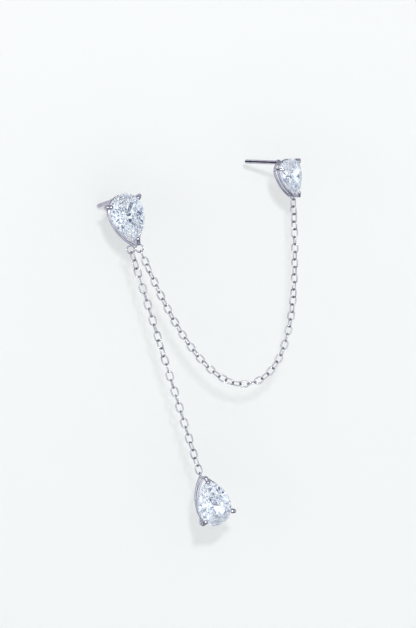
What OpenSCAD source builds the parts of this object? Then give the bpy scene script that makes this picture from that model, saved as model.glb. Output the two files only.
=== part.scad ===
// Earring for two piercings. Two claw-set pear stones on straight posts are joined
// by a hanging chain, and a second chain below the first stud carries a pear drop.
// Millimetres, +Z up, +X from the first stud to the second, the stones face -Y.
// The origin is the root of the first post.
//
// Each stone and its setting are drawn in their own frame first: the girdle lies in
// the XY plane, the table faces +Z, the round end points to +Y and the tip to -Y.

/* [First stud] */
// Width of the first stone
stone_1_w = 7.2; // [6.8:0.1:7.6]
// Length of the first stone
stone_1_l = 10; // [9.6:0.1:10.4]
// Turn of the first stud to the right
stud_1_yaw = 23; // [18:1:28]
// Tip of the first stud's face upwards
stud_1_pitch = 11.5; // [6:0.5:16]
// Lean of the first stone in its own plane, round end to the left
stud_1_lean = -1; // [-4:0.5:2]

/* [Second stud] */
// Width of the second stone
stone_2_w = 5.1; // [4.8:0.1:5.4]
// Length of the second stone
stone_2_l = 7.5; // [7.2:0.1:7.8]
// Turn of the second stud to the right
stud_2_yaw = 34; // [28:1:40]
// Tip of the second stud's face upwards
stud_2_pitch = -2; // [-5:0.5:5]
// Lean of the second stone in its own plane, round end to the left
stud_2_lean = 3; // [0:0.5:6]
// Distance of the second post's root to the right of the first
stud_2_x = 33.1; // [32:0.1:34]
// Height of the second post's root over the first
stud_2_z = -1.4; // [-3:0.1:0]

/* [Drop] */
// Width of the drop's stone
drop_w = 7.2; // [6.8:0.1:7.6]
// Length of the drop's stone
drop_l = 9.8; // [9.4:0.1:10.2]
// Turn of the drop to the right
drop_yaw = 20; // [15:1:25]
// Tip of the drop's face upwards
drop_pitch = 4; // [0:1:8]

/* [Cut of the stones] */
// Size of the table as a share of the outline
table_share = 0.56; // [0.5:0.01:0.62]
// Height of the crown as a share of the width
crown_share = 0.14; // [0.12:0.01:0.15]
// Depth of the pavilion as a share of the width
pavilion_share = 0.42; // [0.38:0.01:0.44]
// Thickness of the girdle
girdle_t = 0.2; // [0.16:0.02:0.24]

/* [Settings] */
// Diameter of the rail wire
rail_d = 0.5; // [0.4:0.05:0.5]
// Depth of the back rail behind the girdle
rail_back = 2.9; // [2.8:0.1:3.2]
// Depth of the gallery rail behind the girdle
rail_front = 1.1; // [1.05:0.05:1.3]
// Diameter of a claw as a share of the stone's width
claw_share = 0.12; // [0.1:0.01:0.12]
// Diameter of the bar at the tip that carries the chain
bar_d = 0.56; // [0.54:0.02:0.62]

/* [Posts] */
// Diameter of an ear post
post_d = 0.8; // [0.7:0.05:0.9]
// Free length of an ear post
post_l = 10.5; // [8:0.5:12]

/* [Chains] */
// Diameter of the link wire
link_wire = 0.23; // [0.2:0.01:0.24]
// Outer width of a link
link_w = 1.48; // [1.44:0.02:1.6]
// Number of links in the hanging chain
swag_links = 51; // [49:2:53]
// Spacing of the links in the hanging chain
swag_pitch = 1.545; // [1.52:0.005:1.58]
// Lean of the hanging curve, its lowest point to the left
swag_lean = 3.3; // [0:0.1:4]
// Number of links in the drop's chain
drop_links = 28; // [20:2:32]
// Spacing of the links in the drop's chain
drop_pitch_l = 1.727; // [1.72:0.001:1.76]
// Lean of the drop's chain to the right
drop_lean = 0.6; // [0:0.1:2]

/* [Hidden] */

// Gap between a stone and the metal that holds it
fit_gap = 0.05;
// Gap between two links, or a link and the wire that carries it
link_gap = 0.11;
// Inset of the rails from the outline of the stone
back_inset = 0.8;
front_inset = 0.35;
back_depth = rail_back + rail_d / 2;
// Shoulder claws: angle from the middle of the round end, reach over the stone and
// slope of the crown there. Then reach and slope at the tip.
claw_angle = 62;
shoulder_reach = 0.1;
shoulder_slope = 0.9;
tip_reach = 0.35;
tip_slope = 0.43;
// Heights at which a claw turns upright and bends over, and the taper to its foot
knee_z = -0.5;
bend_z = 0.35;
neck_l = 0.6;
joint_swell = 0.02;
// Loop on the tip bar that holds a chain: half width, leg, depths behind the girdle
loop_r = 0.45;
loop_leg = 0.5;
loop_2_z = -2;
drop_loop_z = -2.5;
// Wire of the chain eyes and loops, then the eyes of the first stud: ring radius,
// distance from the bar, depths and directions from straight down
eye_wire = 0.3;
eye_r = 0.79;
eye_off = 1.15;
left_eye_z = -2.55;
right_eye_z = -1.4;
left_eye_turn = -52;
right_eye_turn = 25;
// Slope of the hanging chain at its ends, from upright
left_pull = 6;
right_pull = 12;
// Solder boss and chamfer of a post
boss_d = 1.2;
boss_t = 0.35;
post_chamfer = 0.15;
// Culet and middle of the table, as a share of the length towards the tip
centre_share = 0.09;
// Where main facets part, as a share of the crown's rise and of the pavilion's depth
star_share = 0.5;
lower_share = 0.72;
// Facet stations round a stone, the one at the tip, and girdle steps per station
stations = 8;
tip_station = 4;
girdle_steps = 4;
// Smoothness of arcs, wires and links
arc_fn = 72;
wire_fn = 24;
link_fn = 24;
link_wire_fn = 16;

silver = [0.78, 0.79, 0.82];
ice = [0.82, 0.9, 0.96];

// Twist of a chain in degrees at shares of its length
swag_twist = [
  [0, -stud_1_yaw], [0.1, 0], [0.37, 0], [0.5, 90], [0.56, 90], [0.61, 60],
  [0.66, 90], [0.73, 135], [0.86, 135], [0.92, 90 + stud_2_yaw], [1, 90 + stud_2_yaw]
];
drop_twist = [
  [0, 90 + drop_yaw], [0.07, 90], [0.37, 90], [0.48, 45], [0.63, 0], [0.78, 0],
  [0.89, -38], [1, stud_1_yaw - 90]
];

pose_1 = [stud_1_yaw, stud_1_pitch, stud_1_lean];
pose_2 = [stud_2_yaw, stud_2_pitch, stud_2_lean];
pose_drop = [drop_yaw, drop_pitch, 180];

function swap_x(p) = [-p.x, p.y];

// A pear outline has a half circle of radius r round the middle and two arcs that
// run from it to the tip, h below the middle. These are an arc's radius and angle.
function side_r(r, h) = (r * r + h * h) / (2 * r);
function side_angle(r, h) = asin(h / side_r(r, h));

// Station k of the outline, clockwise from the round end: its place and direction
function rim_xy(r, h, k) =
  k > tip_station ? swap_x(rim_xy(r, h, stations - k)) :
  k <= 2 ? r * [sin(45 * k), cos(45 * k)] :
  let(t = side_angle(r, h) * (k - 2) / 2, q = side_r(r, h)) [r - q + q * cos(t), -q * sin(t)];
function rim_out(r, h, k) =
  k > tip_station ? swap_x(rim_out(r, h, stations - k)) :
  k == tip_station ? [0, -1] :
  k <= 2 ? [sin(45 * k), cos(45 * k)] :
  let(t = side_angle(r, h) * (k - 2) / 2) [cos(t), -sin(t)];

// One half of a stone, crown or pavilion, is a list of its height at the girdle, its
// rise from there, its inner share (the table's, or 0 for the culet) and the share of
// the rise at which neighbouring main facets part.
function crown(w) = [girdle_t / 2, crown_share * w, table_share, star_share];
function pavilion(w) = [-girdle_t / 2, -pavilion_share * w, 0, lower_share];
function centre(w, l) = [0, -centre_share * l];

// Inner corner of main facet k
function inner_point(w, l, half, k) =
  let(c = centre(w, l), p = c + half[2] * (rim_xy(w / 2, l - w / 2, k) - c))
  [p.x, p.y, half[0] + half[1]];

// Distance of main facet k from the middle, along its direction, where it ends
function main_reach(w, l, half, k) =
  let(out = rim_out(w / 2, l - w / 2, k), g = rim_xy(w / 2, l - w / 2, k))
  g * out - half[3] * (1 - half[2]) * ((g - centre(w, l)) * out);

// Corner where main facets k and k + 1 part
function side_point(w, l, half, k) =
  let(
    n0 = rim_out(w / 2, l - w / 2, k),
    n1 = rim_out(w / 2, l - w / 2, k + 1),
    b0 = main_reach(w, l, half, k),
    b1 = main_reach(w, l, half, k + 1),
    det = n0.x * n1.y - n0.y * n1.x
  )
  [(b0 * n1.y - b1 * n0.y) / det, (b1 * n0.x - b0 * n1.x) / det, half[0] + half[3] * half[1]];

function on_plane(a, b, c, p) =
  let(n = cross(b - a, c - a)) [p.x, p.y, a.z - (n.x * (p.x - a.x) + n.y * (p.y - a.y)) / n.z];

// Point j of the girdle's edge. Between its stations it lies in the facet above or
// below it, which gives the edge its scallops.
function edge_point(w, l, half, j) =
  let(
    k = floor(j / girdle_steps),
    p = rim_xy(w / 2, l - w / 2, j / girdle_steps),
    main = k + round(j / girdle_steps - k),
    g = rim_xy(w / 2, l - w / 2, main),
    m = rim_xy(w / 2, l - w / 2, k + 0.5)
  )
  j % 2 == 0 ? [p.x, p.y, half[0]] :
  on_plane(side_point(w, l, half, k), [g.x, g.y, half[0]], [m.x, m.y, half[0]], p);

module pear_stone(w, l) {
  last = stations - 1;
  rim = stations * girdle_steps;
  side = stations;
  upper = 2 * stations;
  lower = upper + rim;
  keel = lower + rim;
  culet = keel + stations;
  tip = centre(w, l);
  points = [
    for (k = [0:last]) inner_point(w, l, crown(w), k),
    for (k = [0:last]) side_point(w, l, crown(w), k),
    for (j = [0:rim - 1]) edge_point(w, l, crown(w), j),
    for (j = [0:rim - 1]) edge_point(w, l, pavilion(w), j),
    for (k = [0:last]) side_point(w, l, pavilion(w), k),
    [tip.x, tip.y, -girdle_t / 2 - pavilion_share * w]
  ];
  table = [for (k = [0:last]) k];
  stars = [for (k = [0:last]) [k, side + k, (k + 1) % stations]];
  mains = [for (k = [0:last])
    [k, side + (k + last) % stations, upper + girdle_steps * k, side + k]];
  halves = [for (k = [0:last], j = girdle_steps * k, step = [0, 2])
    [side + k, upper + j + step, upper + j + step + 1, upper + (j + step + 2) % rim]];
  girdle = [for (j = [0:rim - 1])
    [upper + j, lower + j, lower + (j + 1) % rim, upper + (j + 1) % rim]];
  low_halves = [for (k = [0:last], j = girdle_steps * k, step = [0, 2])
    [keel + k, lower + (j + step + 2) % rim, lower + j + step + 1, lower + j + step]];
  low_mains = [for (k = [0:last])
    [culet, keel + k, lower + girdle_steps * k, keel + (k + last) % stations]];
  polyhedron(points, concat([table], stars, mains, halves, girdle, low_halves, low_mains));
}

// Round wire along a pear outline
module pear_wire(r, h) {
  q = side_r(r, h);
  rotate_extrude(angle = 180, $fn = arc_fn) translate([r, 0]) circle(d = rail_d, $fn = wire_fn);
  for (side = [0, 1]) mirror([side, 0, 0]) translate([r - q, 0, 0])
    rotate_extrude(angle = -side_angle(r, h), $fn = arc_fn)
      translate([q, 0]) circle(d = rail_d, $fn = wire_fn);
}

// Round rod from a to b
module rod(a, b, r) {
  v = b - a;
  translate(a) rotate([0, acos(v.z / norm(v)), atan2(v.y, v.x)])
    cylinder(r = r, h = norm(v), $fn = wire_fn);
}

// Claw that rises beside the girdle and bends over the crown. Its foot, beside the
// outline's point at `edge`, is at `foot`, and `slope` is that of the crown there.
module claw(edge, out, foot, r, inward, slope) {
  rise = girdle_t / 2 + slope * inward + (r + fit_gap) * sqrt(1 + slope * slope);
  beside = edge + (r + fit_gap) * out;
  over = edge - inward * out;
  knee = [beside.x, beside.y, knee_z];
  bend = [beside.x, beside.y, bend_z];
  end = [over.x, over.y, rise];
  if (norm(knee - foot) > r) rod(foot, knee, r);
  rod(knee, bend, r);
  rod(bend, end, r);
  for (p = [knee, bend, end]) translate(p) sphere(r = r + joint_swell, $fn = wire_fn);
}

// Basket of a stone: two rails, two shoulder claws, and the bar and claw at the tip
module basket(w, l) {
  r = w / 2;
  h = l - r;
  claw_r = claw_share * r;
  bar_y = -bar_reach(w, l);
  translate([0, 0, -rail_back]) pear_wire(r - back_inset, -bar_y);
  translate([0, 0, -rail_front]) pear_wire(r - front_inset, -bar_y);
  for (side = [-1, 1]) {
    out = [side * sin(claw_angle), cos(claw_angle)];
    foot = (r - back_inset) * out;
    claw(r * out, out, [foot.x, foot.y, -rail_back], claw_r, shoulder_reach, shoulder_slope);
  }
  translate([0, bar_y, -back_depth]) cylinder(d = bar_d, h = back_depth + knee_z, $fn = wire_fn);
  translate([0, bar_y, knee_z - neck_l])
    cylinder(d1 = bar_d, r2 = claw_r, h = neck_l, $fn = wire_fn);
  claw([0, -h], [0, -1], [0, bar_y, knee_z], claw_r, tip_reach, tip_slope);
}

// Loop on the tip bar for the last link of a chain
module bar_loop(w, l, z) {
  translate(bar_point(w, l, z)) {
    for (side = [-1, 1])
      rod([0, 0, side * loop_r], [0, -loop_leg, side * loop_r], eye_wire / 2);
    translate([0, -loop_leg, 0]) rotate([180, -90, 0])
      rotate_extrude(angle = 180, $fn = arc_fn)
        translate([loop_r, 0]) circle(d = eye_wire, $fn = wire_fn);
  }
}

// Straight ear post with its solder boss, from its root backwards
module post() {
  cylinder(d = post_d, h = rail_d / 2, $fn = wire_fn);
  translate([0, 0, -boss_t]) cylinder(d = boss_d, h = boss_t + rail_d / 2, $fn = wire_fn);
  translate([0, 0, -post_l + post_chamfer])
    cylinder(d = post_d, h = post_l - post_chamfer, $fn = wire_fn);
  translate([0, 0, -post_l])
    cylinder(d1 = post_d - 2 * post_chamfer, d2 = post_d, h = post_chamfer, $fn = wire_fn);
}

// Distance of the tip bar's axis from the middle of the round end
function bar_reach(w, l) = l - w / 2 + claw_share * w / 2 + fit_gap;
function post_root(w) = [0, w / 2 - back_inset, -back_depth];
function bar_point(w, l, z) = [0, -bar_reach(w, l), z];
function loop_point(w, l, z) = [0, -bar_reach(w, l) - loop_leg - loop_r, z];

// Direction and distance of a chain eye from the tip bar
function eye_place(turn_deg) = eye_off * [sin(turn_deg), -cos(turn_deg), 0];

module stud_1_setting() {
  color(silver) placed(pose_1, post_root(stone_1_w)) {
    basket(stone_1_w, stone_1_l);
    translate(post_root(stone_1_w)) post();
    for (eye = [[left_eye_turn, left_eye_z], [right_eye_turn, right_eye_z]])
      translate(bar_point(stone_1_w, stone_1_l, eye[1]) + eye_place(eye[0]))
        rotate_extrude($fn = arc_fn) translate([eye_r, 0]) circle(d = eye_wire, $fn = wire_fn);
  }
}

module stud_1_stone() {
  color(ice) placed(pose_1, post_root(stone_1_w)) pear_stone(stone_1_w, stone_1_l);
}

module stud_2_setting() {
  color(silver) translate(root_2) placed(pose_2, post_root(stone_2_w)) {
    basket(stone_2_w, stone_2_l);
    bar_loop(stone_2_w, stone_2_l, loop_2_z);
    translate(post_root(stone_2_w)) post();
  }
}

module stud_2_stone() {
  color(ice) translate(root_2) placed(pose_2, post_root(stone_2_w))
    pear_stone(stone_2_w, stone_2_l);
}

module drop_setting() {
  color(silver) translate(drop_hang) placed(pose_drop, loop_point(drop_w, drop_l, drop_loop_z)) {
    basket(drop_w, drop_l);
    bar_loop(drop_w, drop_l, drop_loop_z);
  }
}

module drop_stone() {
  color(ice) translate(drop_hang) placed(pose_drop, loop_point(drop_w, drop_l, drop_loop_z))
    pear_stone(drop_w, drop_l);
}

// Turns a stone or setting from its own frame into the earring's, about a point of
// its own. A pose is its turn to the right, its tip upwards and its lean.
module placed(pose, pivot) {
  rotate([0, 0, pose[0]]) rotate([90 - pose[1], 0, 0]) rotate([0, 0, pose[2]])
    translate(-pivot) children();
}
function lean(p, a) = [p.x * cos(a) - p.y * sin(a), p.x * sin(a) + p.y * cos(a), p.z];
function raise(p, a) = [p.x, p.y * sin(a) - p.z * cos(a), p.y * cos(a) + p.z * sin(a)];
function turned(p, pose) = lean(raise(lean(p, pose[2]), pose[1]), pose[0]);

// Place where a chain hangs in an eye, pulled to the right of straight down
function eye_joint(turn_deg, z, pull) =
  turned(bar_point(stone_1_w, stone_1_l, z) + eye_place(turn_deg) - post_root(stone_1_w), pose_1)
  + (eye_r - (eye_wire + link_gap) / 2)
    * turned([sin(pull), -cos(pull), 0], [stud_1_yaw, stud_1_pitch, 0]);

// Oval link, upright in the XZ plane, for links spaced `pitch` apart
module link(pitch) {
  r = (link_w - link_wire) / 2;
  half = (pitch + link_wire + link_gap) / 2 - r;
  for (end = [0, 180]) rotate([0, end, 0]) translate([0, 0, half]) rotate([90, 0, 0])
    rotate_extrude(angle = 180, $fn = link_fn) translate([r, 0])
      circle(d = link_wire, $fn = link_wire_fn);
  for (side = [-1, 1]) translate([side * r, 0, -half])
    cylinder(d = link_wire, h = 2 * half, $fn = link_wire_fn);
}

// Chain along the points p in the XZ plane. Its links stand crosswise in turn, and
// the table adds a twist along it.
module chain(p, pitch, twist) {
  last = len(p) - 2;
  for (i = [0:last]) {
    v = p[i + 1] - p[i];
    translate((p[i] + p[i + 1]) / 2) rotate([0, atan2(v.x, v.z), 0])
      rotate([0, 0, 90 * (i + 1) + lookup(i / last, twist)]) link(pitch);
  }
}

// The hanging curve between the studs, worked out in the plane that its lean turns
function sinh(x) = (exp(x) - exp(-x)) / 2;
function asinh(x) = ln(x + sqrt(x * x + 1));
function unlean(p) =
  [p.x * cos(swag_lean) - p.z * sin(swag_lean), p.x * sin(swag_lean) + p.z * cos(swag_lean)];
function relean(x, z) =
  [x * cos(swag_lean) + z * sin(swag_lean), swag_from.y, z * cos(swag_lean) - x * sin(swag_lean)];
function curve_size(span, rest, low, high, n) =
  let(a = (low + high) / 2)
  n == 0 ? a :
  2 * a * sinh(span / 2 / a) > rest ? curve_size(span, rest, a, high, n - 1) :
  curve_size(span, rest, low, a, n - 1);

swag_from = eye_joint(right_eye_turn, right_eye_z, left_pull);
hook_2 = turned(loop_point(stone_2_w, stone_2_l, loop_2_z) - post_root(stone_2_w), pose_2);
root_2 = [stud_2_x, swag_from.y - hook_2.y, stud_2_z];
swag_to = root_2 + hook_2 + (eye_wire + link_gap) / 2 * [sin(right_pull), 0, cos(right_pull)];
swag_a = unlean(swag_from);
swag_b = unlean(swag_to);
swag_span = swag_b.x - swag_a.x;
swag_rise = swag_b.y - swag_a.y;
swag_len = swag_links * swag_pitch;
swag_size = curve_size(swag_span, sqrt(swag_len * swag_len - swag_rise * swag_rise), 2, 30, 40);
swag_shift = swag_size * asinh(swag_rise / (2 * swag_size * sinh(swag_span / 2 / swag_size)));
swag_start = swag_size * sinh((swag_shift - swag_span / 2) / swag_size);
function curve_height(s) = sqrt(swag_size * swag_size + s * s);
swag_points = [for (i = [0:swag_links]) let(s = swag_start + i * swag_pitch)
  relean(
    swag_a.x + swag_span / 2 - swag_shift + swag_size * asinh(s / swag_size),
    swag_a.y + curve_height(s) - curve_height(swag_start)
  )];

module swag_chain() {
  color(silver) chain(swag_points, swag_pitch, swag_twist);
}

drop_from = eye_joint(left_eye_turn, left_eye_z, 0);
drop_down = [sin(drop_lean), 0, -cos(drop_lean)];
drop_hang = drop_from + (drop_links * drop_pitch_l - (eye_wire + link_gap) / 2) * drop_down;

drop_points = [for (i = [drop_links:-1:0]) drop_from + i * drop_pitch_l * drop_down];

module drop_chain() {
  color(silver) chain(drop_points, drop_pitch_l, drop_twist);
}

stud_1_setting();
stud_1_stone();
stud_2_setting();
stud_2_stone();
swag_chain();
drop_chain();
drop_setting();
drop_stone();
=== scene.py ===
"""Dresses the earring: polished steel settings and chains, pear cut stones, a pale studio.

Sizes are in millimetres, as in the part's source, and every mesh is brought to metres when
it is finished. A jewel is drawn in its own frame first: the girdle lies in the XY plane, the
table faces +Z, the round end points to +Y and the tip to -Y.
"""

from __future__ import annotations

import logging
import math
from dataclasses import dataclass, field
from enum import Enum

import bmesh
import bpy
from mathutils import Matrix, Vector

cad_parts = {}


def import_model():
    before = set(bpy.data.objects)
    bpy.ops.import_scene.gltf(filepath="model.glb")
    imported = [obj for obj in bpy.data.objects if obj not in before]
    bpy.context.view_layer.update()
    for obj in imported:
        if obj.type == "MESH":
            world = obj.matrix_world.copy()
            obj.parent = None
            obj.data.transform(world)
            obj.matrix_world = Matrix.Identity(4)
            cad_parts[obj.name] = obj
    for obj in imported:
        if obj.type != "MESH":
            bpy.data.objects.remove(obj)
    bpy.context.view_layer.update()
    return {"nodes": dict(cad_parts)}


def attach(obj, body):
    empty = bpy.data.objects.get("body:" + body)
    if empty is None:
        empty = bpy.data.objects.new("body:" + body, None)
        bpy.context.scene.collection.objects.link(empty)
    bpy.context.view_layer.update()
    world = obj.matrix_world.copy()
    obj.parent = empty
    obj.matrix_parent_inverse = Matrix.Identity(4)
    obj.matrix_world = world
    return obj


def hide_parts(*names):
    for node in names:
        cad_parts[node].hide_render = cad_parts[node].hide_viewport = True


MM = 0.001
SHARP_DEG = 40.0
WELD_MM = 0.001
CUT_MM = 0.0001
GOLDEN_ANGLE = math.pi * (3 - math.sqrt(5))
SLOPE_STEP = 0.7549
NOISE_LOW, NOISE_HIGH = 0.3, 0.7
WIRE_SIDES = 20
ROD_SIDES = 24
BALL_ROWS = 16
MIX_A, MIX_B, MIX_RESULT = 6, 7, 2
LOG = logging.getLogger("earring")
# Mesh attribute that carries the painted shade where chain links meet.
JOINT_SHADE_MASK = "joint_shade"

Colour = tuple[float, float, float]
Stops = tuple[tuple[float, Colour], ...]
Socket = bpy.types.NodeSocket
Inputs = dict[str | int, object]
Tree = bpy.types.NodeTree
Node = bpy.types.Node
Object = bpy.types.Object
Material = bpy.types.Material


class Body(str, Enum):
    """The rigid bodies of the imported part."""

    FIXED = "studs_and_chains"
    DROP = "drop"


class Slot(str, Enum):
    """Names of the material slots that pieces are given with."""

    STEEL = "steel"
    STONE = "stone"


# Nodes and objects


def fill_inputs(tree: Tree, node: Node, inputs: Inputs) -> None:
    """Fills in inputs of a node.

    Args:
        tree: The node's tree.
        node: The node.
        inputs: Sockets to link, values or colours, by the name or number of the input.
    """
    for name, value in inputs.items():
        socket = node.inputs[name]
        if isinstance(value, Socket):
            tree.links.new(value, socket)
        else:
            socket.default_value = (*value, 1.0) if socket.type == "RGBA" else value


def add_node(tree: Tree, kind: str, inputs: Inputs) -> Node:
    """Adds a node.

    Args:
        tree: Node tree that it's added to.
        kind: Kind of the node.
        inputs: What goes into its inputs.

    Returns:
        The new node.
    """
    node = tree.nodes.new(kind)
    fill_inputs(tree, node, inputs)
    return node


def ramp_colour(tree: Tree, source: Socket, stops: Stops) -> Socket:
    """Turns a factor into colours through a ramp.

    Args:
        tree: Node tree that the ramp is added to.
        source: The factor.
        stops: Places on the ramp with their colours, in order.

    Returns:
        The ramp's colour socket.
    """
    node = add_node(tree, "ShaderNodeValToRGB", {"Fac": source})
    ramp = node.color_ramp.elements
    while len(ramp) < len(stops):
        ramp.new(0.5)
    for element, (at, colour) in zip(ramp, stops):
        element.position = at
        element.color = (*colour, 1.0)
    return node.outputs["Color"]


def mixed_colour(tree: Tree, share: Socket, under: Socket | Colour, over: Colour) -> Socket:
    """Lays one colour over another.

    Args:
        tree: Node tree that the mix is added to.
        share: How much of the upper colour shows, from 0 to 1.
        under: The lower colour, plain or from a socket.
        over: The upper colour.

    Returns:
        The mix's colour socket.
    """
    node = tree.nodes.new("ShaderNodeMix")
    node.data_type = "RGBA"
    fill_inputs(tree, node, {"Factor": share, MIX_A: under, MIX_B: over})
    return node.outputs[MIX_RESULT]


def new_object(name: str, data: bpy.types.ID) -> Object:
    """Makes an object and links it to the scene.

    Args:
        name: Its name.
        data: Its mesh, light or camera.

    Returns:
        The new object.
    """
    made = bpy.data.objects.new(name, data)
    bpy.context.scene.collection.objects.link(made)
    return made


# Finishes


class NodeSheet:
    """The node tree of a material that holds one Principled shader."""

    def __init__(self, name: str) -> None:
        """Starts the material.

        Args:
            name: Its name.
        """
        self.material = bpy.data.materials.new(name)
        self.material.use_nodes = True
        self.tree = self.material.node_tree
        self.shader = self.tree.nodes["Principled BSDF"]
        self.place = self.tree.nodes.new("ShaderNodeTexCoord").outputs["Object"]

    def noise(self, scale: float, detail: float, source: Socket | None = None) -> Socket:
        """Adds a noise.

        Args:
            scale: Grains per metre of the piece.
            detail: Octaves of the noise.
            source: Coordinates to read, or the piece's own when left out.

        Returns:
            The noise's factor socket.
        """
        node = add_node(self.tree, "ShaderNodeTexNoise", {
            "Scale": scale, "Detail": detail, "Vector": source or self.place,
        })
        return node.outputs["Fac"]

    def spread(self, source: Socket, low: float, high: float) -> Socket:
        """Spreads a noise over a range of values.

        Args:
            source: The noise's factor.
            low: Value where the noise is low.
            high: Value where the noise is high.

        Returns:
            The socket of the values.
        """
        node = add_node(self.tree, "ShaderNodeMapRange", {
            "From Min": NOISE_LOW, "From Max": NOISE_HIGH, "To Min": low, "To Max": high,
            "Value": source,
        })
        return node.outputs["Result"]

    def feed(self, inputs: Inputs) -> None:
        """Fills in inputs of the shader."""
        fill_inputs(self.tree, self.shader, inputs)


@dataclass(frozen=True)
class SteelFinish:
    """Polished stainless steel with a faint lavender cast and fine polishing lines."""

    name: str
    bright: Colour = (0.86, 0.87, 0.90)
    dim: Colour = (0.66, 0.67, 0.76)
    dim_at: float = 0.35
    bright_at: float = 0.6
    polish: tuple[float, float] = (0.05, 0.16)
    patch_per_m: float = 900.0
    patch_detail: float = 3.0
    line_per_m: float = 5000.0
    line_detail: float = 4.0
    line_stretch: tuple[float, float, float] = (1.0, 1.0, 0.15)
    relief: float = 0.25
    relief_m: float = 0.00001
    # Mask attribute and colour of painted shade, where chain links meet.
    shade_attribute: str | None = None
    joint_shade_colour: Colour = (0.07, 0.07, 0.09)

    def material(self) -> Material:
        """Mixes the finish. It gets painted shade, a dark colour, where the mesh's shade mask
        attribute is 1.

        Returns:
            The finish as a material.
        """
        sheet = NodeSheet(self.name)
        patches = sheet.noise(self.patch_per_m, self.patch_detail)
        stops = ((self.dim_at, self.dim), (self.bright_at, self.bright))
        colour = ramp_colour(sheet.tree, patches, stops)
        # Painted shade: the colour darkens where the mask is 1.
        if self.shade_attribute:
            mask = sheet.tree.nodes.new("ShaderNodeAttribute")
            mask.attribute_name = self.shade_attribute
            colour = mixed_colour(sheet.tree, mask.outputs["Fac"], colour, self.joint_shade_colour)
        grain = add_node(sheet.tree, "ShaderNodeMapping",
                         {"Scale": self.line_stretch, "Vector": sheet.place})
        lines = sheet.noise(self.line_per_m, self.line_detail, grain.outputs["Vector"])
        bump = add_node(sheet.tree, "ShaderNodeBump", {
            "Strength": self.relief, "Distance": self.relief_m, "Height": lines,
        })
        sheet.feed({"Base Color": colour, "Metallic": 1.0, "Normal": bump.outputs["Normal"],
                    "Roughness": sheet.spread(lines, *self.polish)})
        return sheet.material


@dataclass(frozen=True)
class StoneFinish:
    """Clear cut zirconia with an icy cast that shifts a little from place to place."""

    name: str
    clear: Colour = (1.0, 1.0, 1.0)
    cold: Colour = (0.92, 0.95, 1.0)
    cold_at: float = 0.4
    clear_at: float = 0.6
    index: float = 2.15
    patch_per_m: float = 700.0
    patch_detail: float = 2.0

    def material(self) -> Material:
        """Mixes the finish.

        Returns:
            The finish as a material.
        """
        sheet = NodeSheet(self.name)
        patches = sheet.noise(self.patch_per_m, self.patch_detail)
        stops = ((self.cold_at, self.cold), (self.clear_at, self.clear))
        sheet.feed({"Base Color": ramp_colour(sheet.tree, patches, stops), "Roughness": 0.0,
                    "IOR": self.index, "Transmission Weight": 1.0})
        return sheet.material


@dataclass(frozen=True)
class PaperFinish:
    """Matt paper of the studio sweep, seen from its front only. It fades out on the floor."""

    name: str
    colour: Colour
    fade_from_y_m: float = -0.08
    fade_to_y_m: float = -0.3

    def material(self) -> Material:
        """Mixes the finish. Views from behind pass through it.

        Returns:
            The finish as a material.
        """
        sheet = NodeSheet(self.name)
        tree, nodes = sheet.tree, sheet.tree.nodes
        sheet.feed({"Base Color": self.colour, "Roughness": 1.0, "Specular IOR Level": 0.0})
        place = add_node(tree, "ShaderNodeSeparateXYZ", {"Vector": sheet.place})
        fade = add_node(tree, "ShaderNodeMapRange", {
            "From Min": self.fade_from_y_m, "From Max": self.fade_to_y_m,
            "Value": place.outputs["Y"],
        })
        behind = nodes.new("ShaderNodeNewGeometry").outputs["Backfacing"]
        clear = add_node(tree, "ShaderNodeMath", {0: behind, 1: fade.outputs["Result"]})
        clear.operation = "MAXIMUM"
        nothing = nodes.new("ShaderNodeBsdfTransparent").outputs["BSDF"]
        mix = add_node(tree, "ShaderNodeMixShader", {
            "Fac": clear.outputs["Value"], 1: sheet.shader.outputs["BSDF"], 2: nothing,
        })
        fill_inputs(tree, nodes["Material Output"], {"Surface": mix.outputs["Shader"]})
        return sheet.material


# Metalwork


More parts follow.
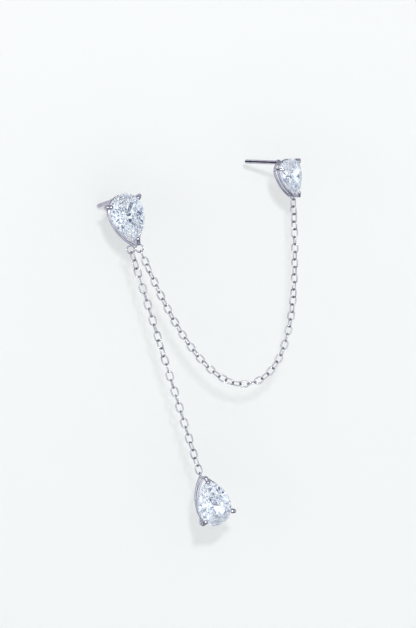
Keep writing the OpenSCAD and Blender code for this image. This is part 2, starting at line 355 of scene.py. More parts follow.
class Workpiece:
    """A mesh in the making, in millimetres."""

    def __init__(self) -> None:
        """Starts an empty mesh."""
        self.bm = bmesh.new()

    def arc(self, start: Vector, centre: Vector, axis: Vector, degrees: float, radius: float,
            steps: int, sides: int) -> None:
        """Sweeps round wire along an arc with closed ends.

        Args:
            start: Middle of the wire where the arc begins.
            centre: Middle of the arc.
            axis: Axis that it turns about.
            degrees: Angle that it turns through.
            radius: Radius of the wire.
            steps: Segments along the arc.
            sides: Sides of the wire.
        """
        along = axis.cross(start - centre).normalized()
        turn = along.to_track_quat("Z", "Y").to_matrix().to_4x4()
        whole = abs(degrees) >= 360
        wire = bmesh.ops.create_circle(self.bm, cap_ends=not whole, radius=radius, segments=sides,
                                       matrix=Matrix.Translation(start) @ turn)["verts"]
        geometry = list({e for v in wire for e in v.link_edges}) + wire
        geometry += list({f for v in wire for f in v.link_faces})
        bmesh.ops.spin(self.bm, geom=geometry, cent=centre, axis=axis, steps=steps,
                       angle=math.radians(degrees), use_merge=whole)
        self.close()

    def rod(self, start: Vector, end: Vector, radius: float, end_radius: float | None = None,
            sides: int = ROD_SIDES) -> None:
        """Adds a straight round rod.

        Args:
            start: Middle of its first end.
            end: Middle of its other end.
            radius: Its radius.
            end_radius: Radius at the other end, where it's tapered.
            sides: Its sides.
        """
        along = end - start
        turn = along.to_track_quat("Z", "Y").to_matrix().to_4x4()
        bmesh.ops.create_cone(self.bm, cap_ends=True, segments=sides, radius1=radius,
                              radius2=radius if end_radius is None else end_radius,
                              depth=along.length,
                              matrix=Matrix.Translation((start + end) / 2) @ turn)

    def ball(self, centre: Vector, radius: float) -> None:
        """Adds a ball."""
        bmesh.ops.create_uvsphere(self.bm, u_segments=ROD_SIDES, v_segments=BALL_ROWS,
                                  radius=radius, matrix=Matrix.Translation(centre))

    def close(self) -> None:
        """Closes open ends."""
        rim = [e for e in self.bm.edges if e.is_boundary]
        if rim:
            bmesh.ops.holes_fill(self.bm, edges=rim, sides=0)

    def shave(self, outward: Vector, depth: float) -> None:
        """Cuts a flat facet.

        Args:
            outward: Direction that the facet faces.
            depth: Depth of the cut below the outermost point.
        """
        reach = max(vert.co.dot(outward) for vert in self.bm.verts)
        geometry = [*self.bm.verts, *self.bm.edges, *self.bm.faces]
        bmesh.ops.bisect_plane(self.bm, geom=geometry, dist=CUT_MM,
                               plane_co=outward * (reach - depth), plane_no=outward,
                               clear_outer=True)
        self.close()

    def cast(self, grain: float, rounds: int) -> None:
        """Melts the overlapping shells into one casting with soft fillets.

        Args:
            grain: Size of its faces.
            rounds: Rounds of smoothing, which widen the fillets.
        """
        bmesh.ops.recalc_face_normals(self.bm, faces=self.bm.faces)
        blank = bpy.data.meshes.new("casting_blank")
        self.bm.to_mesh(blank)
        mould = new_object("casting_blank", blank)
        remesh = mould.modifiers.new("casting", "REMESH")
        remesh.mode = "VOXEL"
        remesh.voxel_size = grain
        bpy.context.view_layer.update()
        graph = bpy.context.evaluated_depsgraph_get()
        solid = bpy.data.meshes.new_from_object(mould.evaluated_get(graph))
        self.bm.clear()
        self.bm.from_mesh(solid)
        for _ in range(rounds):
            bmesh.ops.smooth_vert(self.bm, verts=self.bm.verts, factor=0.5, use_axis_x=True,
                                  use_axis_y=True, use_axis_z=True)
        bpy.data.objects.remove(mould)
        bpy.data.meshes.remove(blank)
        bpy.data.meshes.remove(solid)

    def finished(self, name: str, place: Matrix, material: Material,
                 smooth: bool = True) -> Object:
        """Turns the mesh into a piece at its place, in metres.

        Args:
            name: Name of the piece.
            place: Where the drawing stands in the part, in millimetres.
            material: Its finish.
            smooth: Whether its shading is smooth.

        Returns:
            The new object, at the origin.
        """
        self.bm.transform(Matrix.Scale(MM, 4) @ place)
        bmesh.ops.recalc_face_normals(self.bm, faces=self.bm.faces)
        if self.bm.calc_volume(signed=True) < 0:
            bmesh.ops.reverse_faces(self.bm, faces=self.bm.faces)
        mesh = bpy.data.meshes.new(name)
        for face in self.bm.faces:
            face.smooth = smooth
        for edge in self.bm.edges:
            edge.smooth = edge.calc_face_angle(0.0) < math.radians(SHARP_DEG)
        self.bm.to_mesh(mesh)
        self.bm.free()
        mesh.materials.append(material)
        return new_object(name, mesh)


def ride_as(piece: Object, body: Body, slot: Slot, *nodes: str) -> None:
    """Hangs a piece on its body, hides the CAD nodes that it stands for, and reports it.

    Args:
        piece: The piece.
        body: Body that it rides on.
        slot: Its material slot; not used.
        *nodes: CAD nodes that it stands for.
    """
    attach(piece, body.value)
    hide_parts(*nodes)
    LOG.info("%s: %d faces, rides on %s", piece.name, len(piece.data.polygons), body.value)


@dataclass(frozen=True)
class Pear:
    """Outline of a pear cut: a half circle and two arcs that run to the tip."""

    width: float
    length: float

    @property
    def radius(self) -> float:
        """Radius of the round end."""
        return self.width / 2

    @property
    def reach(self) -> float:
        """Distance of the tip from the middle of the round end."""
        return self.length - self.radius


@dataclass(frozen=True)
class FacetField:
    """Small facets strewn evenly round a stone and over a range of slopes."""

    count: int
    low: float
    high: float
    depth: float

    def directions(self) -> list[Vector]:
        """Strews the facets.

        Returns:
            The outward direction of each facet.
        """
        found = []
        for k in range(self.count):
            around = k * GOLDEN_ANGLE
            slope = math.radians(self.low + (self.high - self.low) * (k * SLOPE_STEP % 1))
            found.append(Vector((math.cos(slope) * math.sin(around),
                                 math.cos(slope) * math.cos(around), math.sin(slope))))
        return found


@dataclass(frozen=True)
class Pose:
    """How a jewel faces: its turn to the right, its tip upwards and its lean, in degrees."""

    turn: float
    tip: float
    lean: float

    def matrix(self) -> Matrix:
        """Works out the turn from the jewel's own frame to the part's.

        Returns:
            The turn, without any move.
        """
        return (Matrix.Rotation(math.radians(self.turn), 4, "Z")
                @ Matrix.Rotation(math.radians(90 - self.tip), 4, "X")
                @ Matrix.Rotation(math.radians(self.lean), 4, "Z"))


@dataclass
class Jewel:
    """A pear stone in its basket: sizes, pose and place.

    The facets' depths are given for a pear that is `facet_width` wide.
    """

    name: str
    pear: Pear
    pose: Pose
    body: Body
    has_post: bool = True
    loop_z: float | None = None
    rail_radius: float = 0.25
    rail_back: float = 2.9
    rail_front: float = 1.1
    back_inset: float = 0.8
    front_inset: float = 0.35
    round_steps: int = 40
    side_steps: int = 24
    bar_radius: float = 0.28
    neck_drop: float = 0.6
    claw_share: float = 0.12
    claw_angle: float = 62.0
    bead_share: float = 1.15
    knuckle_share: float = 1.05
    shoulder_reach: float = 0.1
    shoulder_slope: float = 0.9
    tip_reach: float = 0.35
    tip_slope: float = 0.43
    knee_z: float = -0.5
    bend_z: float = 0.35
    half_girdle: float = 0.1
    fit_gap: float = 0.05
    loop_radius: float = 0.45
    loop_leg: float = 0.5
    loop_wire: float = 0.15
    loop_steps: int = 24
    post_radius: float = 0.4
    post_length: float = 10.5
    post_round: float = 0.22
    post_round_steps: int = 6
    post_sides: int = 48
    boss_radius: float = 0.6
    boss_length: float = 0.35
    boss_root: float = 0.25
    grain: float = 0.055
    smooth_rounds: int = 6
    facet_width: float = 7.2
    facets: tuple[FacetField, ...] = (
        FacetField(240, -58.0, -42.0, 0.05), FacetField(90, 28.0, 66.0, 0.03),
    )
    flat_deg: float = 0.5
    stone_weld: float = 0.002
    place: Vector = field(default_factory=Vector)

    @property
    def claw_radius(self) -> float:
        """Radius of a claw."""
        return self.claw_share * self.pear.radius

    @property
    def back_depth(self) -> float:
        """Depth of the back rail's lower edge behind the girdle."""
        return self.rail_back + self.rail_radius

    @property
    def bar_y(self) -> float:
        """Y of the bar at the tip."""
        return -(self.pear.reach + self.claw_radius + self.fit_gap)

    @property
    def post_root(self) -> Vector:
        """Where the ear post leaves the back rail."""
        return Vector((0, self.pear.radius - self.back_inset, -self.back_depth))

    @property
    def loop_point(self) -> Vector:
        """Middle of the loop's wire at the bottom of the loop on the tip bar."""
        return Vector((0, self.bar_y - self.loop_leg - self.loop_radius, self.loop_z or 0))

    @property
    def pivot(self) -> Vector:
        """The point of the jewel that its place is given by."""
        return self.post_root if self.has_post else self.loop_point

    def turned(self, point: Vector) -> Vector:
        """Turns a point of the jewel's frame into the part's directions, about its origin."""
        return self.pose.matrix() @ point

    def to_part(self) -> Matrix:
        """Returns the move from the jewel's own frame to its place in the part."""
        return (Matrix.Translation(self.place) @ self.pose.matrix()
                @ Matrix.Translation(-self.pivot))

    def rail(self, work: Workpiece, inset: float, depth: float) -> None:
        """Bends one rail of round wire along the outline.

        Args:
            work: Mesh to add it to.
            inset: Inset from the stone's outline.
            depth: Depth behind the girdle.
        """
        r, h, up = self.pear.radius - inset, -self.bar_y, Vector((0, 0, 1))
        q = (r * r + h * h) / (2 * r)
        bend = math.degrees(math.asin(h / q))
        work.arc(Vector((r, 0, -depth)), Vector((0, 0, -depth)), up, 180, self.rail_radius,
                 self.round_steps, WIRE_SIDES)
        for side in (-1, 1):
            work.arc(Vector((side * r, 0, -depth)), Vector((side * (r - q), 0, -depth)), up,
                     -side * bend, self.rail_radius, self.side_steps, WIRE_SIDES)

    def claw(self, work: Workpiece, edge: Vector, out: Vector, foot: Vector, reach: float,
             slope: float) -> None:
        """Adds a claw that rises beside the girdle and bends over the crown.

        Args:
            work: Mesh to add it to.
            edge: Point of the outline that it stands beside.
            out: Outward direction there.
            foot: Where its foot stands on the back rail.
            reach: How far it reaches over the stone.
            slope: Slope of the crown under it.
        """
        r = self.claw_radius
        rise = self.half_girdle + slope * reach + (r + self.fit_gap) * math.hypot(1, slope)
        beside, over = edge + (r + self.fit_gap) * out, edge - reach * out
        knee, bend = beside + Vector((0, 0, self.knee_z)), beside + Vector((0, 0, self.bend_z))
        end = over + Vector((0, 0, rise))
        if (knee - foot).length > r:
            work.rod(foot, knee, r)
        work.rod(knee, bend, r)
        work.rod(bend, end, r)
        for point in (knee, bend):
            work.ball(point, self.knuckle_share * r)
        work.ball(end, self.bead_share * r)

    def basket(self, steel: Material) -> Object:
        """Casts the basket: two rails, two shoulder claws, and the bar and claw at the tip.

        Args:
            steel: Its finish.

        Returns:
            The basket as a piece.
        """
        work = Workpiece()
        self.rail(work, self.back_inset, self.rail_back)
        self.rail(work, self.front_inset, self.rail_front)
        for side in (-1, 1):
            angle = math.radians(self.claw_angle)
            out = Vector((side * math.sin(angle), math.cos(angle), 0))
            foot = (self.pear.radius - self.back_inset) * out - Vector((0, 0, self.rail_back))
            self.claw(work, self.pear.radius * out, out, foot, self.shoulder_reach,
                      self.shoulder_slope)
        bar = Vector((0, self.bar_y, 0))
        neck = bar + Vector((0, 0, self.knee_z - self.neck_drop))
        work.rod(bar - Vector((0, 0, self.back_depth)), neck, self.bar_radius)
        work.rod(neck, bar + Vector((0, 0, self.knee_z)), self.bar_radius, self.claw_radius)
        self.claw(work, Vector((0, -self.pear.reach, 0)), Vector((0, -1, 0)),
                  bar + Vector((0, 0, self.knee_z)), self.tip_reach, self.tip_slope)
        if self.has_post:
            root, up = self.post_root, Vector((0, 0, 1))
            work.rod(root - self.boss_length * up, root + self.boss_root * up,
                     self.boss_radius)
        work.cast(self.grain, self.smooth_rounds)
        return work.finished(f"{self.name}_basket", self.to_part(), steel)

    def post(self, steel: Material) -> Object:
        """Turns the ear post with its rounded end.

        Args:
            steel: Its finish.

        Returns:
            The post as a piece.
        """
        work, root, r = Workpiece(), self.post_root, self.post_radius
        tip = root - Vector((0, 0, self.post_length))
        bmesh.ops.create_cone(work.bm, cap_ends=True, segments=self.post_sides, radius1=r,
                              radius2=r, depth=self.post_length,
                              matrix=Matrix.Translation((root + tip) / 2))
        end = [e for e in work.bm.edges
               if all(abs(v.co.z - tip.z) < WELD_MM for v in e.verts)]
        bmesh.ops.bevel(work.bm, geom=end, offset=self.post_round,
                        segments=self.post_round_steps, profile=0.5, material=-1,
                        affect="EDGES", offset_type="OFFSET")
        return work.finished(f"{self.name}_ear_post", self.to_part(), steel)

    def loop(self, steel: Material) -> Object:
        """Bends the loop on the tip bar that the last link hangs in.

        Args:
            steel: Its finish.

        Returns:
            The loop as a piece.
        """
        work = Workpiece()
        bar, r = Vector((0, self.bar_y, self.loop_z)), self.loop_radius
        low = bar - Vector((0, self.loop_leg, 0))
        for side in (-1, 1):
            offset = Vector((0, 0, side * r))
            work.rod(bar + offset, low + offset, self.loop_wire)
        work.arc(low + Vector((0, 0, r)), low, Vector((1, 0, 0)), 180, self.loop_wire,
                 self.loop_steps, WIRE_SIDES)
        return work.finished(f"{self.name}_loop", self.to_part(), steel)

    def gem(self, blank: Object, stone: Material) -> Object:
        """Cuts the small facets that the stone's main facets leave out.

        Args:
            blank: The CAD node of the stone, which is copied.
            stone: Its finish.

        Returns:
            The stone as a piece.
        """
        work, share = Workpiece(), self.pear.width / self.facet_width
        work.bm.from_mesh(blank.data)
        work.bm.transform((Matrix.Scale(MM, 4) @ self.to_part()).inverted())
        bmesh.ops.remove_doubles(work.bm, verts=work.bm.verts, dist=self.stone_weld)
        bmesh.ops.dissolve_limit(work.bm, angle_limit=math.radians(self.flat_deg),
                                 verts=work.bm.verts, edges=work.bm.edges)
        for facets in self.facets:
            for outward in facets.directions():
                work.shave(outward, facets.depth * share)
        return work.finished(f"{self.name}_gem", self.to_part(), stone, smooth=False)

    def dress(self, steel: Material, stone: Material,
              nodes: dict[str, Object]) -> None:
        """Makes the setting's pieces and gives the stone its finish.

        Args:
            steel: Finish of the metal.
            stone: Finish of the stone.
            nodes: The CAD nodes by name.
        """
        node = f"{self.name}_setting"
        ride_as(self.basket(steel), self.body, Slot.STEEL, node)
        if self.has_post:
            ride_as(self.post(steel), self.body, Slot.STEEL, node)
        if self.loop_z is not None:
            ride_as(self.loop(steel), self.body, Slot.STEEL, node)
        cut = self.gem(nodes[f"{self.name}_stone"], stone)
        ride_as(cut, self.body, Slot.STONE, f"{self.name}_stone")


@dataclass(frozen=True)
class Eye:
    """A chain eye at the first stud's tip: its direction, its depth and the chain's pull.

    Both angles are in degrees from straight down.
    """

    turn: float
    z: float
    pull: float


@dataclass
class ChainEyes:
    """The two soldered eyes at the first stud's tip that carry the chains."""

    jewel: Jewel
    left: Eye = Eye(-52.0, -2.55, 0.0)
    right: Eye = Eye(25.0, -1.4, 6.0)
    radius: float = 0.79
    wire: float = 0.15
    reach: float = 1.15
    gap: float = 0.11
    steps: int = 48

    def middle(self, eye: Eye) -> Vector:
        """Finds the middle of an eye.

        Args:
            eye: The eye.

        Returns:
            Its middle in the jewel's frame.
        """
        angle = math.radians(eye.turn)
        out = self.reach * Vector((math.sin(angle), -math.cos(angle), 0))
        return Vector((0, self.jewel.bar_y, eye.z)) + out

    def joint(self, eye: Eye) -> Vector:
        """Finds where a chain hangs in an eye.

        Args:
            eye: The eye.

        Returns:
            The first joint of the chain, in the part.
        """
        angle = math.radians(eye.pull)
        pose = Pose(self.jewel.pose.turn, self.jewel.pose.tip, 0).matrix()
        down = pose @ Vector((math.sin(angle), -math.cos(angle), 0))
        middle = self.jewel.turned(self.middle(eye) - self.jewel.post_root)
        return middle + (self.radius - self.wire - self.gap / 2) * down

    def dress(self, steel: Material) -> None:
        """Makes both eyes.

        Args:
            steel: Their finish.
        """
        work = Workpiece()
        for eye in (self.left, self.right):
            middle = self.middle(eye)
            work.arc(middle + Vector((self.radius, 0, 0)), middle, Vector((0, 0, 1)), 360,
                     self.wire, self.steps, WIRE_SIDES)
        piece = work.finished("stud_1_chain_eyes", self.jewel.to_part(), steel)
        ride_as(piece, self.jewel.body, Slot.STEEL, "stud_1_setting")


# Chains


@dataclass(frozen=True)
class Twist:
    """Twist of a chain in degrees at shares of its length."""

    stops: tuple[tuple[float, float], ...]

    def at(self, share: float) -> float:
        """Reads the twist between two stops.

        Args:
            share: Share of the chain's length, from 0 to 1.

        Returns:
            The twist in degrees.
        """
        for (s0, t0), (s1, t1) in zip(self.stops, self.stops[1:]):
            if share <= s1:
                return t0 + (t1 - t0) * (share - s0) / (s1 - s0)
        return self.stops[-1][1]


@dataclass
class Chain:
    """A cable chain of oval links along a line of points.

    `splay` turns the links that lie edge-on further towards the front, in degrees.
    """

    name: str
    points: list[Vector]
    pitch: float
    twist: Twist
    width: float
    splay: float
    wire: float = 0.13
    bow: float = 0.16
    # Reach of the painted shade about each link end: full within the core, none beyond the edge.
    shade_core: float = 0.12
    shade_edge: float = 0.34
    arc_steps: int = 10
    bow_cuts: int = 3
    sides: int = 12
    upright: float = 0.99

    def link(self) -> bpy.types.Mesh:
        """Bends one oval link, upright in the XZ plane.

        Returns:
            The link as a mesh in millimetres.
        """
        bend = self.width / 2 - self.wire
        half = (self.pitch + 2 * self.wire) / 2 - bend
        up, bm = Vector((0, 0, half)), bmesh.new()
        wire = bmesh.ops.create_circle(bm, cap_ends=False, radius=self.wire, segments=self.sides,
                                       matrix=Matrix.Translation(Vector((bend, 0, -half))))
        rim = list({e for v in wire["verts"] for e in v.link_edges})
        for end in (up, -up):
            grown = bmesh.ops.extrude_edge_only(bm, edges=rim)["geom"]
            verts = [g for g in grown if isinstance(g, bmesh.types.BMVert)]
            bmesh.ops.translate(bm, verts=verts, vec=2 * end)
            rim = [g for g in grown if isinstance(g, bmesh.types.BMEdge)]
            bent = bmesh.ops.spin(bm, geom=rim, cent=end, axis=Vector((0, -1, 0)),
                                  angle=math.pi, steps=self.arc_steps)["geom_last"]
            rim = [g for g in bent if isinstance(g, bmesh.types.BMEdge)]
        bmesh.ops.remove_doubles(bm, verts=bm.verts, dist=WELD_MM)
        straight = [e for e in bm.edges
                    if abs((e.verts[0].co - e.verts[1].co).normalized().z) > self.upright
                    and abs(e.verts[0].co.z - e.verts[1].co.z) > half]
        bmesh.ops.subdivide_edges(bm, edges=straight, cuts=self.bow_cuts, use_grid_fill=True)
        end = half + self.width / 2
        for vert in bm.verts:
            vert.co.x *= 1 + self.bow * (1 - (vert.co.z / end) ** 2)
        mesh = bpy.data.meshes.new("link")
        bm.to_mesh(mesh)
        bm.free()
        return mesh

    def joint_shading(self, link: bpy.types.Mesh) -> list[float]:
        """Measures how much painted shade each point of a link gets at its ends, where the next
        link hangs.

        Args:
            link: The link's mesh, in millimetres.

        Returns:
            Painted shade from 0 to 1, the highest where the next link meets it.
        """
        span = self.shade_edge - self.shade_core
        shares = []
        for vert in link.vertices:
            off = (vert.co - Vector((0, 0, math.copysign(self.pitch / 2, vert.co.z)))).length
            shares.append(min(1.0, max(0.0, (self.shade_edge - off) / span)))
        return shares

    def dress(self, steel: Material) -> None:
        """Makes the chain.

        Args:
            steel: Its finish.
        """
        work, last, link = Workpiece(), len(self.points) - 2, self.link()
        shares = self.joint_shading(link)
        for i, (a, b) in enumerate(zip(self.points, self.points[1:])):
            along = b - a
            turn = Matrix.Rotation(math.atan2(along.x, along.z), 4, "Y")
            lay = 90 * (i + 1) + self.twist.at(i / last)
            lay += self.splay * math.sin(math.radians(lay)) ** 2
            roll = Matrix.Rotation(math.radians(lay), 4, "Z")
            placed = link.copy()
            placed.transform(Matrix.Translation((a + b) / 2) @ turn @ roll)
            work.bm.from_mesh(placed)
            bpy.data.meshes.remove(placed)
        bpy.data.meshes.remove(link)
        piece = work.finished(f"{self.name}_links", Matrix.Identity(4), steel)
        # Painted shade at each link's ends, read by the chain finish.
        mask = piece.data.attributes.new(JOINT_SHADE_MASK, "FLOAT", "POINT")
        mask.data.foreach_set("value", shares * (last + 1))
        ride_as(piece, Body.FIXED, Slot.STEEL, self.name)


@dataclass
class HangingCurve:
    """The curve in which the chain hangs between the studs, turned by a small lean."""

    start: Vector
    end: Vector
    links: int
    pitch: float
    lean: float
    size_range: tuple[float, float] = (2.0, 30.0)
    halvings: int = 40

    def flat(self, point: Vector) -> tuple[float, float]:
        """Turns a point into the plane in which the curve hangs level."""
        c, s = math.cos(math.radians(self.lean)), math.sin(math.radians(self.lean))
        return point.x * c - point.z * s, point.x * s + point.z * c

    def leaning(self, x: float, z: float) -> Vector:
        """Turns a point of that plane back into the part."""
        c, s = math.cos(math.radians(self.lean)), math.sin(math.radians(self.lean))
        return Vector((x * c + z * s, self.start.y, z * c - x * s))

    def points(self) -> list[Vector]:
        """Finds the joints of the chain, one pitch apart along the curve.

        Returns:
            The joints in the part, from the curve's start to its end.
        """
        (ax, az), (bx, bz) = self.flat(self.start), self.flat(self.end)
        span, rise, length = bx - ax, bz - az, self.links * self.pitch
        rest = math.sqrt(length * length - rise * rise)
        low, high = self.size_range
        for _ in range(self.halvings):
            size = (low + high) / 2
            if 2 * size * math.sinh(span / 2 / size) > rest:
                low = size
            else:
                high = size
        shift = size * math.asinh(rise / (2 * size * math.sinh(span / 2 / size)))
        first = size * math.sinh((shift - span / 2) / size)
        along = [first + i * self.pitch for i in range(self.links + 1)]
        return [self.leaning(ax + span / 2 - shift + size * math.asinh(s / size),
                             az + math.hypot(size, s) - math.hypot(size, first))
                for s in along]


# Studio


@dataclass(frozen=True)
class Flag:
    """A dark card in the studio, which the metal and the facets mirror."""

    towards: tuple[float, float, float]
    inner: float
    outer: float
    colour: Colour = (0.13, 0.13, 0.165)

    def over(self, tree: Tree, behind: Socket | Colour) -> Socket:
        """Hangs the card in front of what is seen without it.

        Args:
            tree: The world's node tree.
            behind: What is seen without the card.

        Returns:
            The colour socket of both.
        """
        place = tree.nodes.new("ShaderNodeTexCoord").outputs["Generated"]
        dot = add_node(tree, "ShaderNodeVectorMath",
                       {0: place, 1: Vector(self.towards).normalized()})
        dot.operation = "DOT_PRODUCT"
        reach = add_node(tree, "ShaderNodeMapRange", {
            "From Min": math.cos(math.radians(self.outer)),
            "From Max": math.cos(math.radians(self.inner)), "Value": dot.outputs["Value"],
        })
        return mixed_colour(tree, reach.outputs["Result"], behind, self.colour)


@dataclass(frozen=True)
class Clutter:
    """Light and dark patches of a cluttered room, which make the stones sparkle."""

    scale: float
    seed: float
    stops: Stops
    detail: float = 2.0

    def strewn(self, tree: Tree) -> Socket:
        """Strews the patches over the room.

        Args:
            tree: The world's node tree.

        Returns:
            The colour socket of the patches.
        """
        place = tree.nodes.new("ShaderNodeTexCoord").outputs["Generated"]
        noise = tree.nodes.new("ShaderNodeTexNoise")
        noise.noise_dimensions = "4D"
        fill_inputs(tree, noise, {"Vector": place, "W": self.seed, "Scale": self.scale,
                                  "Detail": self.detail})
        return ramp_colour(tree, noise.outputs["Fac"], self.stops)


@dataclass(frozen=True)
class Room:
    """What one kind of ray sees of the studio around the sweep."""

    colour: Colour = (1.0, 1.0, 1.0)
    strength: float = 1.0
    flags: tuple[Flag, ...] = ()
    clutter: Clutter | None = None

    def shader(self, tree: Tree) -> Socket:
        """Draws the room with its clutter and its cards.

        Args:
            tree: The world's node tree.

        Returns:
            The shader socket of the room.
        """
        shown = self.clutter.strewn(tree) if self.clutter else self.colour
        for flag in self.flags:
            shown = flag.over(tree, shown)
        room = add_node(tree, "ShaderNodeBackground",
                        {"Color": shown, "Strength": self.strength})
        return room.outputs["Background"]


@dataclass(frozen=True)
class Lamp:
    """A round soft light that faces the earring. Lengths are in millimetres."""

    name: str
    towards: tuple[float, float, float]
    far: float
    size: float
    watts: float
    colour: Colour

    def hang(self, middle: Vector) -> None:
        """Hangs the light.

        Args:
            middle: Point of the part that it faces.
        """
        data = bpy.data.lights.new(self.name, "AREA")
        data.shape = "DISK"
        data.size = self.size * MM
        data.energy = self.watts
        data.color = self.colour
        lamp, towards = new_object(self.name, data), Vector(self.towards)
        lamp.location = (middle + self.far * towards.normalized()) * MM
        lamp.rotation_mode = "QUATERNION"
        lamp.rotation_quaternion = towards.to_track_quat("Z", "Y")


@dataclass
class Studio:
    """Pale sweep, soft light and the camera at the photograph's angle."""

    wall_y: float = 10.4
    floor_z: float = -170.0
    cove: float = 60.0
    cove_steps: int = 24
    half_width: float = 600.0
    depth: float = 600.0
    height: float = 500.0
    paper: PaperFinish = PaperFinish("pale_paper", (0.90, 0.925, 0.93))
    lit: Room = Room((1.0, 0.99, 0.99), 0.81)
    mirrored: Room = Room((0.54, 0.53, 0.61), 1.0, (
        Flag((0.0, -0.97, 0.24), 95.0, 115.0, (0.27, 0.26, 0.33)),
        Flag((0.0, -0.97, 0.24), 36.0, 60.0, (0.95, 0.95, 1.0)),
        Flag((0.0, 0.1, -1.0), 36.0, 52.0),
        Flag((0.0, 0.0, 1.0), 26.0, 44.0),
        Flag((-0.886, 0.353, 0.294), 20.0, 27.0, (0.004, 0.004, 0.01)),
        Flag((0.75, -0.60, 0.0), 12.0, 18.0),
        Flag((0.3, 0.9, -0.1), 16.0, 26.0),
        Flag((-0.45, -0.75, -0.45), 9.0, 14.0),
    ))
    refracted: Room = Room(strength=1.35, clutter=Clutter(6.0, 6.3, (
        (0.40, (0.01, 0.02, 0.07)), (0.43, (0.08, 0.13, 0.28)), (0.47, (0.46, 0.54, 0.64)),
        (0.53, (0.76, 0.82, 0.86)), (0.60, (0.97, 1.0, 0.98)),
    )))
    seen: Room = Room((0.915, 0.945, 0.955))
    lamps: tuple[Lamp, ...] = (
        Lamp("key_light", (0.146, -1.0, 0.44), 420, 32, 0.36, (1.0, 0.99, 0.98)),
        Lamp("fill_light", (-0.75, -0.75, 0.35), 500, 300, 0.12, (0.96, 0.98, 1.0)),
    )
    camera_tilt: float = 14.0
    camera_roll: float = 16.2
    camera_range: float = 500.0
    camera_lens: float = 143.3
    camera_sensor: float = 36.0
    camera_clip_m: tuple[float, float] = (0.01, 10.0)
    aim_right: float = 11.45
    aim_up: float = -27.03
    aim_shift: tuple[float, float, float] = (-0.167, 0.291, -0.153)
    bounces: int = 32
    inner_bounces: int = 24

    def sweep(self) -> None:
        """Lays the floor and raises the wall in one sheet of paper."""
        bm = bmesh.new()
        front, back = -self.depth, self.wall_y
        ends = [bm.verts.new((x, front, self.floor_z))
                for x in (-self.half_width, self.half_width)]
        edge = [bm.edges.new(ends)]
        moves = (Vector((0, back - self.cove - front, 0)), Vector((0, 0, self.height)))
        for i, move in enumerate(moves):
            grown = bmesh.ops.extrude_edge_only(bm, edges=edge)["geom"]
            verts = [g for g in grown if isinstance(g, bmesh.types.BMVert)]
            bmesh.ops.translate(bm, verts=verts, vec=move)
            edge = [g for g in grown if isinstance(g, bmesh.types.BMEdge)]
            if i == 0:
                centre = Vector((0, back - self.cove, self.floor_z + self.cove))
                bent = bmesh.ops.spin(bm, geom=edge, cent=centre, axis=Vector((1, 0, 0)),
                                      angle=math.pi / 2, steps=self.cove_steps)["geom_last"]
                edge = [g for g in bent if isinstance(g, bmesh.types.BMEdge)]
        bmesh.ops.transform(bm, matrix=Matrix.Scale(MM, 4), verts=bm.verts)
        mesh = bpy.data.meshes.new("studio_sweep")
        for face in bm.faces:
            face.smooth = True
        bm.normal_update()
        if sum(face.normal.z for face in bm.faces) < 0:
            bmesh.ops.reverse_faces(bm, faces=bm.faces)
        bm.to_mesh(mesh)
        bm.free()
        mesh.materials.append(self.paper.material())
        sweep = new_object("studio_sweep", mesh)
        sweep.visible_glossy = False
        sweep.visible_transmission = False

    def surroundings(self) -> None:
        """Makes the pale room. Light, mirror images and the stones each see their own of it."""
        world = bpy.data.worlds.new("studio")
        world.use_nodes = True
        tree = world.node_tree
        rays = tree.nodes.new("ShaderNodeLightPath").outputs
        shown = self.lit.shader(tree)
        for room, ray in ((self.mirrored, "Is Glossy Ray"), (self.refracted, "Is Transmission Ray"),
                          (self.seen, "Is Camera Ray")):
            mix = add_node(tree, "ShaderNodeMixShader",
                           {"Fac": rays[ray], 1: shown, 2: room.shader(tree)})
            shown = mix.outputs["Shader"]
        fill_inputs(tree, tree.nodes["World Output"], {"Surface": shown})
        bpy.context.scene.world = world

    def camera(self) -> None:
        """Sets the camera where the photograph was taken from."""
        tilt, roll = math.radians(self.camera_tilt), math.radians(self.camera_roll)
        right, up = Vector((1, 0, 0)), Vector((0, math.sin(tilt), math.cos(tilt)))
        ahead = Vector((0, math.cos(tilt), -math.sin(tilt)))
        target = self.aim_right * right + self.aim_up * up + Vector(self.aim_shift)
        across = math.cos(roll) * right - math.sin(roll) * up
        upright = math.sin(roll) * right + math.cos(roll) * up
        turn = Matrix((across, upright, -ahead)).transposed()
        data = bpy.data.cameras.new("camera")
        data.lens = self.camera_lens
        data.sensor_width = self.camera_sensor
        data.clip_start, data.clip_end = self.camera_clip_m
        camera = new_object("camera", data)
        camera.matrix_world = (Matrix.Translation((target - self.camera_range * ahead) * MM)
                               @ turn.to_4x4())
        bpy.context.scene.camera = camera

    def quality(self) -> None:
        """Lets light pass through the stones often enough, and keeps its colours plain."""
        cycles = bpy.context.scene.cycles
        cycles.max_bounces = self.bounces
        cycles.glossy_bounces = self.inner_bounces
        cycles.transmission_bounces = self.inner_bounces
        view = bpy.context.scene.view_settings
        view.view_transform = "Standard"
        view.look = "None"

    def build(self) -> None:
        """Builds the whole studio."""
        self.sweep()
        self.surroundings()
        self.camera()
        for lamp in self.lamps:
            lamp.hang(Vector((self.aim_right, 0, self.aim_up)))
        self.quality()


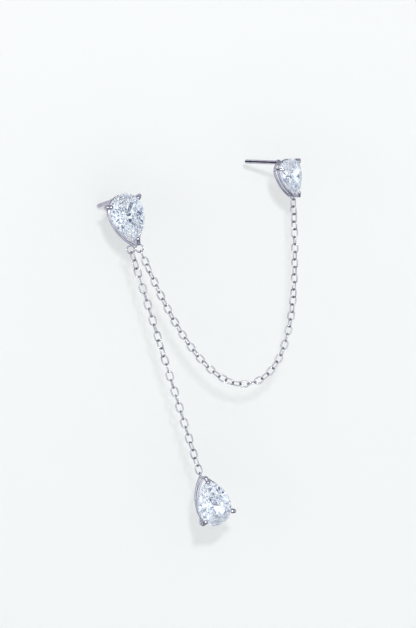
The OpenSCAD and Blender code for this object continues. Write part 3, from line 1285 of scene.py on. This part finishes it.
@dataclass
class Earring:
    """The whole earring, with the sizes that its parts share."""

    steel: SteelFinish = SteelFinish("polished_steel")
    # Chain steel gets painted shade where the links meet.
    chain_steel: SteelFinish = SteelFinish("chain_steel", bright=(1.0, 1.0, 1.0),
                                           dim=(0.8, 0.8, 0.88), polish=(0.08, 0.2),
                                           shade_attribute=JOINT_SHADE_MASK)
    stone: StoneFinish = StoneFinish("clear_stone")
    stud_1_pear: Pear = Pear(7.2, 10.0)
    stud_1_pose: Pose = Pose(23, 11.5, -1)
    stud_2_pear: Pear = Pear(5.1, 7.5)
    stud_2_pose: Pose = Pose(34, -2, 3)
    stud_2_x: float = 33.1
    stud_2_z: float = -1.4
    stud_2_loop_z: float = -2.0
    drop_pear: Pear = Pear(7.2, 9.8)
    drop_pose: Pose = Pose(20, 4, 180)
    drop_loop_z: float = -2.5
    wire_width: float = 0.3
    gap: float = 0.11
    swag_links: int = 51
    swag_pitch: float = 1.545
    swag_width: float = 1.3
    swag_splay: float = 22.0
    swag_lean: float = 3.3
    swag_pull: float = 12.0
    swag_twist: Twist = Twist((
        (0, -23), (0.02, -5), (0.04, 25), (0.06, 50), (0.08, 80), (0.1, 90), (0.4, 90),
        (0.44, 120), (0.48, 160), (0.52, 180), (0.58, 180), (0.64, 160), (0.7, 180),
        (0.74, 192), (0.78, 225), (0.86, 225), (0.92, 280), (0.96, 300), (1, 304),
    ))
    drop_links: int = 28
    drop_pitch: float = 1.727
    drop_width: float = 1.38
    drop_lean: float = 0.6
    drop_splay: float = 12.0
    drop_twist: Twist = Twist((
        (0, 110), (0.06, 116), (0.11, 105), (0.15, 90), (0.45, 90), (0.52, 65), (0.59, 38),
        (0.63, 20), (0.67, 4), (0.86, 0), (0.93, -25), (1, -67),
    ))

    @property
    def rest(self) -> float:
        """How far the middle of a link's wire rests from that of the loop it hangs in."""
        return (self.wire_width + self.gap) / 2

    def second_stud(self, swag_from: Vector) -> tuple[Jewel, Vector]:
        """Places the smaller stud so that the chain between the studs hangs in one plane.

        Args:
            swag_from: First joint of that chain.

        Returns:
            The stud, and the last joint of that chain.
        """
        stud = Jewel("stud_2", self.stud_2_pear, self.stud_2_pose, Body.FIXED,
                     loop_z=self.stud_2_loop_z)
        hook = stud.turned(stud.loop_point - stud.post_root)
        stud.place = Vector((self.stud_2_x, swag_from.y - hook.y, self.stud_2_z))
        pull = math.radians(self.swag_pull)
        along = Vector((math.sin(pull), 0, math.cos(pull)))
        return stud, stud.place + hook + self.rest * along

    def build(self, nodes: dict[str, Object]) -> None:
        """Makes and dresses every piece.

        Args:
            nodes: The CAD nodes by name.
        """
        steel, links = self.steel.material(), self.chain_steel.material()
        stone = self.stone.material()
        stud_1 = Jewel("stud_1", self.stud_1_pear, self.stud_1_pose, Body.FIXED)
        eyes = ChainEyes(stud_1)
        swag_from, drop_from = eyes.joint(eyes.right), eyes.joint(eyes.left)
        stud_2, swag_to = self.second_stud(swag_from)

        lean = math.radians(self.drop_lean)
        down = Vector((math.sin(lean), 0, -math.cos(lean)))
        line = [drop_from + i * self.drop_pitch * down for i in range(self.drop_links, -1, -1)]
        hang = drop_from + (self.drop_links * self.drop_pitch - self.rest) * down
        drop = Jewel("drop", self.drop_pear, self.drop_pose, Body.DROP, has_post=False,
                     loop_z=self.drop_loop_z, place=hang)
        for jewel in (stud_1, stud_2, drop):
            jewel.dress(steel, stone, nodes)
        eyes.dress(steel)

        curve = HangingCurve(swag_from, swag_to, self.swag_links, self.swag_pitch,
                             self.swag_lean)
        Chain("swag_chain", curve.points(), self.swag_pitch, self.swag_twist, self.swag_width,
              self.swag_splay).dress(links)
        Chain("drop_chain", line, self.drop_pitch, self.drop_twist, self.drop_width,
              self.drop_splay).dress(links)


def main() -> None:
    """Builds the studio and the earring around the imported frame."""
    logging.basicConfig(level=logging.INFO, format="%(message)s")
    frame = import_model()
    Studio().build()
    Earring().build(frame["nodes"])


if __name__ == "__main__":
    main()
